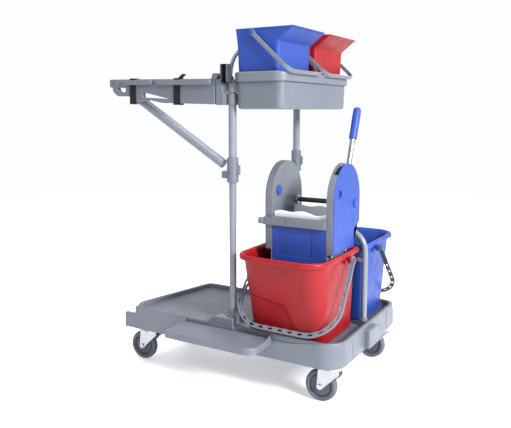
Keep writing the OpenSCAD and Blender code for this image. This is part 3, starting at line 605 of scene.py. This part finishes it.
def bucket():
    """Large bucket in its own frame: back wall at Y 0, flared front at Y 305."""

    def wall(t, d, z):
        """Ring of the wall a share t of the way up, drawn in by d."""
        half = 128 + (135.5 - 128) * t
        y0, y1 = 20 + (13 - 20) * t, 222 + (292 - 222) * t
        return ring(-half + d, half - d, y0 + d, y1 - d, 35 + (60 - 35) * t - d * 0.6, z, 24, 12, max(3, 14 - d))

    def lip(d, z):
        """Ring of the rim, drawn in by d."""
        return ring(-PAIL_HALF + d, PAIL_HALF - d, d, PAIL_LEN - d, 72 - d, z, 24, 12, max(3, 19 - d))

    def height(z):
        """Share of the wall's height at z."""
        return (z - BAY_FLOOR) / (BUCKET_TOP - BAY_FLOOR)

    rings = [wall(0, 16, 183.6), wall(0, 10, 183.1), wall(0, 4, 183.8), wall(0.005, 1, 185.8), wall(0.02, 0, 189)]
    rings += [wall(height(z), 0, z) for z in range(195, 428, 3)]
    rings += [wall(height(429), 0, 429), lip(7, 430.5), lip(4, 431), lip(2.6, 429), lip(0.8, 428.6), lip(0, 430),
              lip(0, 436), lip(0.8, 439.4), lip(2.8, 442), lip(5.6, 443), lip(9, 442.4), lip(12, 440.2),
              wall(0.99, 1.6, 436)]
    rings += [wall(height(z), 3, z) for z in range(430, 194, -12)]
    rings += [wall(0.02, 4, 190), wall(0.01, 8, 187), wall(0.01, 16, 186.2)]
    return loft(rings)


def relief(x, y, z):
    """Draws the lower part of the flared wall in by 3 mm, under a curved ledge."""
    edge = 316 - 18 * smooth(-120, -10, x) - 116 * smooth(-6, 56, x)
    if y > 120 and z < 425:
        y -= 3 * smooth(edge + 3, edge - 3, z) * smooth(190, 215, y + (z - 183) * 0.2)
    return x, y, z


def pivots():
    """Pins, heads and notched brackets on both sides of the bucket."""
    made = []
    for s in (-1, 1):
        made.append(button(5, *sorted((s * 125, s * 166)), (0, TRUNNION[0], TRUNNION[1]), "x", 0.4, 32))
        made.append(button(8, *sorted((s * 164.3, s * 168)), (0, TRUNNION[0], TRUNNION[1]), "x", 1.2, 32))
        made.append(bar(*sorted((s * 126, s * 141.5)), TRUNNION[0] - 14, TRUNNION[0] + 14, 406, 429.5, 2))
        made.append(bar(*sorted((s * 146, s * 155.5)), TRUNNION[0] - 9, TRUNNION[0] + 9, 410, 430, 1.6))
    return made


def bail_path(half, bow, length, bend):
    """Centre line of a bail in its plane, as points and distances."""
    raw = [Vector((-half, 0))]
    for cx, a0, a1 in ((-half - bow + bend, 180, 90), (half + bow - bend, 90, 0)):
        for k in range(49):
            a = math.radians(a0 + (a1 - a0) * k / 48)
            raw.append(Vector((cx + bend * math.cos(a), length - bend + bend * math.sin(a))))
    raw.append(Vector((half, 0)))
    points = []
    for p, q in zip(raw, raw[1:]):
        parts = max(1, int((q - p).length / 1.5))
        points += [p + (q - p) * k / parts for k in range(parts)]
    points.append(raw[-1])
    places = [0.0]
    for p, q in zip(points, points[1:]):
        places.append(places[-1] + (q - p).length)
    return points, places


def on_path(points, places, s, d, t):
    """Point a distance s along the path, d outwards and t off its plane."""
    s = max(0.0, min(places[-1], s))
    lo, hi = 0, len(places) - 1
    while hi - lo > 1:
        mid = (lo + hi) // 2
        lo, hi = (mid, hi) if places[mid] <= s else (lo, mid)
    span = places[hi] - places[lo] or 1
    p = points[lo] + (points[hi] - points[lo]) * ((s - places[lo]) / span)
    a, b = points[max(0, lo - 2)], points[min(len(points) - 1, hi + 2)]
    tangent = (b - a).normalized()
    return p.x - tangent.y * d, p.y + tangent.x * d, t


PLAIN_LEG = 78


def plain_legs(points, places, plain, b, t):
    """The two ends of a bail: a web between two rails."""
    made, total = [], places[-1]
    for start, stop in ((0, plain + 0.6), (total, total - plain - 0.6)):
        for d0, d1, h in ((-b, -b + 4, t / 2), (b - 4, b, t / 2), (-b + 3, b - 3, t / 2 - 1.3)):
            rows = []
            for k in range(13):
                s = start + (stop - start) * k / 12
                rows.append([on_path(points, places, s, d, q) for d, q in ((d0, -h), (d1, -h), (d1, h), (d0, h))])
            made.append(bevelled(loft(rows), 0.7, 2, 50))
    return made


def ladder_bail(half, bow, length, bend, w, t, pitch, slot_len, slot_w):
    """Bail w wide and t thick, made of two rails with rounded slots between them."""
    points, places = bail_path(half, bow, length, bend)
    total, plain, b = places[-1], PLAIN_LEG, w / 2
    cells = round((total - 2 * plain) / pitch)
    a = (total - 2 * plain) / cells / 2
    sides = [(-a + 2 * a * k / 6, -b) for k in range(6)] + [(a, -b), (a, 0)]
    sides += [(a - 2 * a * k / 6, b) for k in range(6)] + [(-a, b), (-a, 0)]
    r, h = slot_w / 2, (slot_len - slot_w) / 2
    verts, faces = [], []

    def put(s, d):
        """Vertex pair on both faces of the bail."""
        first = len(verts)
        verts.append(on_path(points, places, s, d, t / 2))
        verts.append(on_path(points, places, s, d, -t / 2))
        return first

    n = len(sides)
    for c in range(cells):
        middle = plain + a * (2 * c + 1)
        outer, inner = [], []
        for x, y in sides:
            scallop = 1.3 * (0.5 + 0.5 * math.cos(math.pi * x / a)) if y == -b else 0
            outer.append(put(middle + x, y + scallop))
            cx = max(-h, min(h, x * h / a * 1.2))
            ray = Vector((x - cx, y)).normalized() * r
            inner.append(put(middle + cx + ray.x, ray.y))
        for i in range(n):
            j = (i + 1) % n
            faces.append((outer[i], outer[j], inner[j], inner[i]))
            faces.append((outer[i] + 1, inner[i] + 1, inner[j] + 1, outer[j] + 1))
            faces.append((inner[i], inner[j], inner[j] + 1, inner[i] + 1))
            if sides[i][1] == sides[j][1] and abs(sides[i][1]) == b:
                faces.append((outer[i], outer[i] + 1, outer[j] + 1, outer[j]))
    for s in (plain, total - plain):
        row = [put(s, d) for d in (-b, 0, b)]
        for i in (0, 1):
            faces.append((row[i], row[i] + 1, row[i + 1] + 1, row[i + 1]))
    return join(bevelled((verts, faces), 0.9, 2, 50), *plain_legs(points, places, plain, b, t))


def large_bail():
    arms = ladder_bail(BAIL_HALF, bow=8, length=262, bend=95, w=16, t=6, pitch=33, slot_len=17, slot_w=7)
    eyes = [collar(12, 5.1, s * BAIL_HALF - 4, s * BAIL_HALF + 4, (0, 0, 0), "x", 1.2) for s in (-1, 1)]
    return join(arms, *eyes)


# Where each pail's back wall stands, the way it faces, its bail's swing in degrees, and its two looks
PAILS = {
    "red": (-113, 191, -1, 229.3, RED, "red_plastic", GREY, "grey_plastic"),
    "blue": (-100, 213, 1, -50, BLUE, "blue_plastic", BAIL_DARK, "dark_plastic"),
}
for key, (px, py, way, swing, skin, skin_slot, bail_skin, bail_slot) in PAILS.items():
    spot = Matrix.Translation((px, py, 0)) @ Matrix.Scale(way, 4, (0, 1, 0))
    walls = warped(bucket(), relief) if key == "red" else bucket()
    piece(key + "_pail_body", moved(join(walls, *pivots()), spot), skin, key + "_pail",
          [key + "_bucket"])
    hinge = (Matrix.Translation((px, py + way * TRUNNION[0], TRUNNION[1]))
             @ Matrix.Rotation(math.radians(swing), 4, "X"))
    piece(key + "_pail_bail", moved(large_bail(), hinge), bail_skin, key + "_handle", [key + "_bail"])

# ---- small buckets -----------------------------------------------------------------------

# Where each pail's front left corner stands, and its look
SMALL = {"blue": (-284, -45, BLUE, "blue_plastic"), "red": (-284, 213, RED, "red_plastic")}
# Where a bail's pins lie in X and Z, half the pail's and the bail's width, and the bail's swing in degrees
SMALL_PIVOT, SMALL_HALF, SMALL_BAIL_HALF, SMALL_SWING = (61, 1100), 110, 118.5, 42.6


def small_bucket():
    low, spout, high = 878.2, 1071, 1113

    def wall(z, d):
        """Ring of the wall at z, drawn in by d. Its right side leans out above the spout's level."""
        t = (z - low) / (high - low)
        x1 = 140 + 8 * t
        if z > spout:
            x1 = max(x1, 146 + (194 - 146) * min(1, (z - spout) / 40))
        r = 16 - 4 * t
        r = r if z < spout else max(6, r * (1 - (z - spout) / 60))
        return ring(6 - 6 * t + d, x1 - d, 8 - 8 * t + d, 212 + 8 * t - d, max(3, r - d), z, 16, 8)

    outer = [wall(low, 12), wall(low + 0.2, 6), wall(low + 2, 1.6), wall(low + 6, 0)]
    outer += [wall(z, 0) for z in range(896, 1070, 14)]
    outer += [wall(z, 0) for z in (spout, 1074, 1080, 1088, 1096, 1104, 1108.6)]
    top = [wall(1109.6, -1.6), wall(1110.6, -2), wall(1112.2, -1.8), wall(high, -0.4), wall(high, 1.4),
           wall(1112, 2.6)]
    inner = [wall(z, 2.6) for z in (1104, 1096, 1088, 1080, 1074, spout)]
    inner += [wall(z, 2.6) for z in range(1060, 890, -16)]
    inner += [wall(884, 4), wall(881.6, 8), wall(881.2, 16)]
    made = [loft(outer + top + inner)]
    spot = (SMALL_PIVOT[0], 0, SMALL_PIVOT[1])
    for s in (-1, 1):
        edge = SMALL_HALF + s * SMALL_HALF
        made.append(button(5, *sorted((edge - s * 3, edge + s * 12)), spot, "y", 0.5, 28))
        made.append(button(7, *sorted((edge + s * 11.6, edge + s * 14.5)), spot, "y", 1, 28))
        made.append(extrude([(spot[0] - 14, 1110), (spot[0] + 14, 1110), (spot[0], 1074)],
                            *sorted((edge - s * 1.5, edge + s * 3)), "y", 1.2))
    return join(*made)


def small_bail():
    points, places = bail_path(SMALL_BAIL_HALF, bow=0, length=171, bend=34)
    path = [on_path(points, places, places[-1] * k / 150, 0, 0) for k in range(151)]
    section = [(-1.7, -6), (1.7, -6), (2.5, -5.2), (2.5, 5.2), (1.7, 6), (-1.7, 6), (-2.5, 5.2), (-2.5, -5.2)]
    arms = sweep(path, section, (0, 0, 1))
    eyes = [collar(9, 5.1, s * SMALL_BAIL_HALF - 2.6, s * SMALL_BAIL_HALF + 2.6, (0, 0, 0), "x", 0.8)
            for s in (-1, 1)]
    return join(arms, *eyes)


for key, (px, py, skin, skin_slot) in SMALL.items():
    piece("small_" + key + "_body", moved(small_bucket(), Matrix.Translation((px, py, 0))), skin,
          "small_" + key + "_pail", ["small_" + key + "_bucket"])
    hinge = (Matrix.Translation((px + SMALL_PIVOT[0], py + SMALL_HALF, SMALL_PIVOT[1]))
             @ Matrix.Rotation(math.radians(SMALL_SWING), 4, "Y") @ Matrix.Rotation(math.radians(-90), 4, "Z"))
    piece("small_" + key + "_handle_bow", moved(small_bail(), hinge), GREY, "small_" + key + "_handle",
          ["small_" + key + "_bail"])

# ---- wringer -------------------------------------------------------------------------------

# Middle of the wringer, and where the tie rod, the press plates' pins and the lever's shaft lie
WRINGER_X, TIE, PRESS_PIN_Z, NUT_R = -94, (173, 582), 440, 15
LEVER = (Matrix.Translation((WRINGER_X + 103, 105, 609)) @ Matrix.Rotation(math.radians(-21), 4, "X"))

for side in ("left", "right"):
    dress(side + "_shell", GREY, 0.8)
    dress(side + "_cover", BLUE, 0.8)
dress("wringer_basket", BLUE, 0.6)
dress("front_crossbar", GREY, 1.2)
dress("tie_rod", DARK_STEEL, 0.5)
dress("shaft_caps", BLUE, 0.6)
dress("lever_crank", ZINC, 0.8)
dress("lever_tube", CHROME)
caps = [button(13, *sorted((s * 114.5, s * 118.5)), (WRINGER_X, *TIE), "x", 1.2) for s in (-1, 1)]
piece("tie_rod_caps", join(*caps), BLUE, "wringer", ["tie_rod_nuts"])
turns = [math.radians(60 * k) for k in range(6)]
nut = [(TIE[0] + NUT_R * math.cos(a), TIE[1] + NUT_R * math.sin(a)) for a in turns]
piece("tie_rod_nut", extrude(nut, WRINGER_X - 90.5, WRINGER_X - 81.5, "x", 0.8), ZINC, "wringer")


def press_shape(pin_y, lean):
    """Wringer plate with a wavy top and five ribs, on the pin it hinges on."""
    half, top = 87, 125
    outline = [(-half, -2), (half, -2)]
    for i in range(61):
        x = half - i * half / 30
        wave = 6 * math.cos(math.radians(x * 3.2)) * math.sin(math.radians(x * 1.1 + 40))
        outline.append((x, top + wave))
    plate_body = extrude(outline, -4.5, 4.5, "y", 1.0, 3)
    ribs_made = [bar(-72 + 36 * i - 2, -72 + 36 * i + 2, 3.8, 6.2, 8, 104, 0.9) for i in range(5)]
    pin = button(5, -99, 99, (0, 0, 0), "x", 0.6, 32)
    spot = Matrix.Translation((WRINGER_X, pin_y, PRESS_PIN_Z)) @ Matrix.Rotation(math.radians(lean), 4, "X")
    return moved(join(plate_body, *ribs_made, pin), spot)


piece("front_press", press_shape(30, 6), LIGHT, "front_press", ["front_press_plate"])
piece("rear_press", press_shape(140, -8), LIGHT, "rear_press", ["rear_press_plate"])

grip_profile = [(8.1, 186.5), (10.4, 186), (11.8, 187.6), (12.5, 191), (12.3, 214), (12.5, 240), (12.5, 268),
                (12.2, 280), (11, 286), (8.2, 289.2), (4, 290), (0.4, 290)]
piece("grip_sleeve", moved(lathe(grip_profile, (0, 0, 0), "z", 48), LEVER), BLUE, "lever",
      ["lever_grip"])

# ---- bag holder -------------------------------------------------------------------------------

dress("bag_frame", GREY, 2.4)
dress("bag_clamp_bars", GREY, 1.6)
dress("bag_brace", PAINT, 1.0)
dress("inner_strap", STRAP, 0.5)
dress("outer_strap", STRAP, 0.5)

# ---- stage ---------------------------------------------------------------------------------------

SKY = (0.985, 0.99, 1.0, 1.0)


def floor_material():
    """Pale floor that fades into the background between 1.6 and 5 m from the middle."""
    g = Graph("studio_floor")
    tree = g.tree
    grain = g.mix(g.span(g.noise(3, 3), 0.3, 0.7, 0, 1), [0.90, 0.905, 0.915, 1], [0.93, 0.935, 0.945, 1])
    g.link(grain, g.shader.inputs["Base Color"])
    g.shader.inputs["Roughness"].default_value = 0.55
    g.shader.inputs["Emission Color"].default_value = SKY
    g.shader.inputs["Emission Strength"].default_value = 0.3
    far = g.node("ShaderNodeVectorMath", operation="LENGTH")
    g.link(g.place, far.inputs[0])
    fade = g.span(far.outputs["Value"], 1.6, 5.0, 0, 1)
    glow = g.node("ShaderNodeEmission")
    glow.inputs["Color"].default_value = SKY
    blend = g.node("ShaderNodeMixShader")
    g.link(fade, blend.inputs[0])
    g.link(g.shader.outputs[0], blend.inputs[1])
    g.link(glow.outputs[0], blend.inputs[2])
    g.link(blend.outputs[0], tree.nodes["Material Output"].inputs["Surface"])
    return g.material


floor_mesh = bpy.data.meshes.new("floor")
floor_mesh.from_pydata([(-60, -60, 0), (60, -60, 0), (60, 60, 0), (-60, 60, 0)], [], [(0, 1, 2, 3)])
floor_mesh.materials.append(floor_material())
floor = bpy.data.objects.new("floor", floor_mesh)
bpy.context.scene.collection.objects.link(floor)

world = bpy.data.worlds.new("studio")
world.use_nodes = True
world.node_tree.nodes["Background"].inputs["Color"].default_value = SKY
world.node_tree.nodes["Background"].inputs["Strength"].default_value = 1.0
bpy.context.scene.world = world
bpy.context.scene.view_settings.view_transform = "Standard"


def lamp(name, place, target, size, power):
    """Square area light at place, aimed at target."""
    data = bpy.data.lights.new(name, "AREA")
    data.size, data.energy = size, power
    ob = bpy.data.objects.new(name, data)
    bpy.context.scene.collection.objects.link(ob)
    ob.location = place
    ob.rotation_mode = "QUATERNION"
    ob.rotation_quaternion = (Vector(target) - Vector(place)).to_track_quat("-Z", "Y")


lamp("key", (3.6, -1.2, 2.1), (0, 0, 0.5), 0.9, 330)
lamp("top", (0.2, -0.4, 3.3), (0, 0, 0.2), 1.8, 75)
lamp("rim", (0.6, 3.0, 2.8), (0, 0, 0.6), 1.6, 20)

# Where the camera stands in metres, and the way it looks
CAMERA_AT, AZIMUTH, PITCH = (1.0964, -1.8476, 0.8716), math.radians(30.49), math.radians(6.58)
camera_data = bpy.data.cameras.new("camera")
camera_data.lens, camera_data.shift_x, camera_data.shift_y = 44.51, 0.0064, -0.06
camera = bpy.data.objects.new("camera", camera_data)
bpy.context.scene.collection.objects.link(camera)
camera.location = CAMERA_AT
camera.rotation_mode = "QUATERNION"
camera.rotation_quaternion = Vector((
    -math.sin(AZIMUTH) * math.cos(PITCH), math.cos(AZIMUTH) * math.cos(PITCH), -math.sin(PITCH),
)).to_track_quat("-Z", "Y")
bpy.context.scene.camera = camera
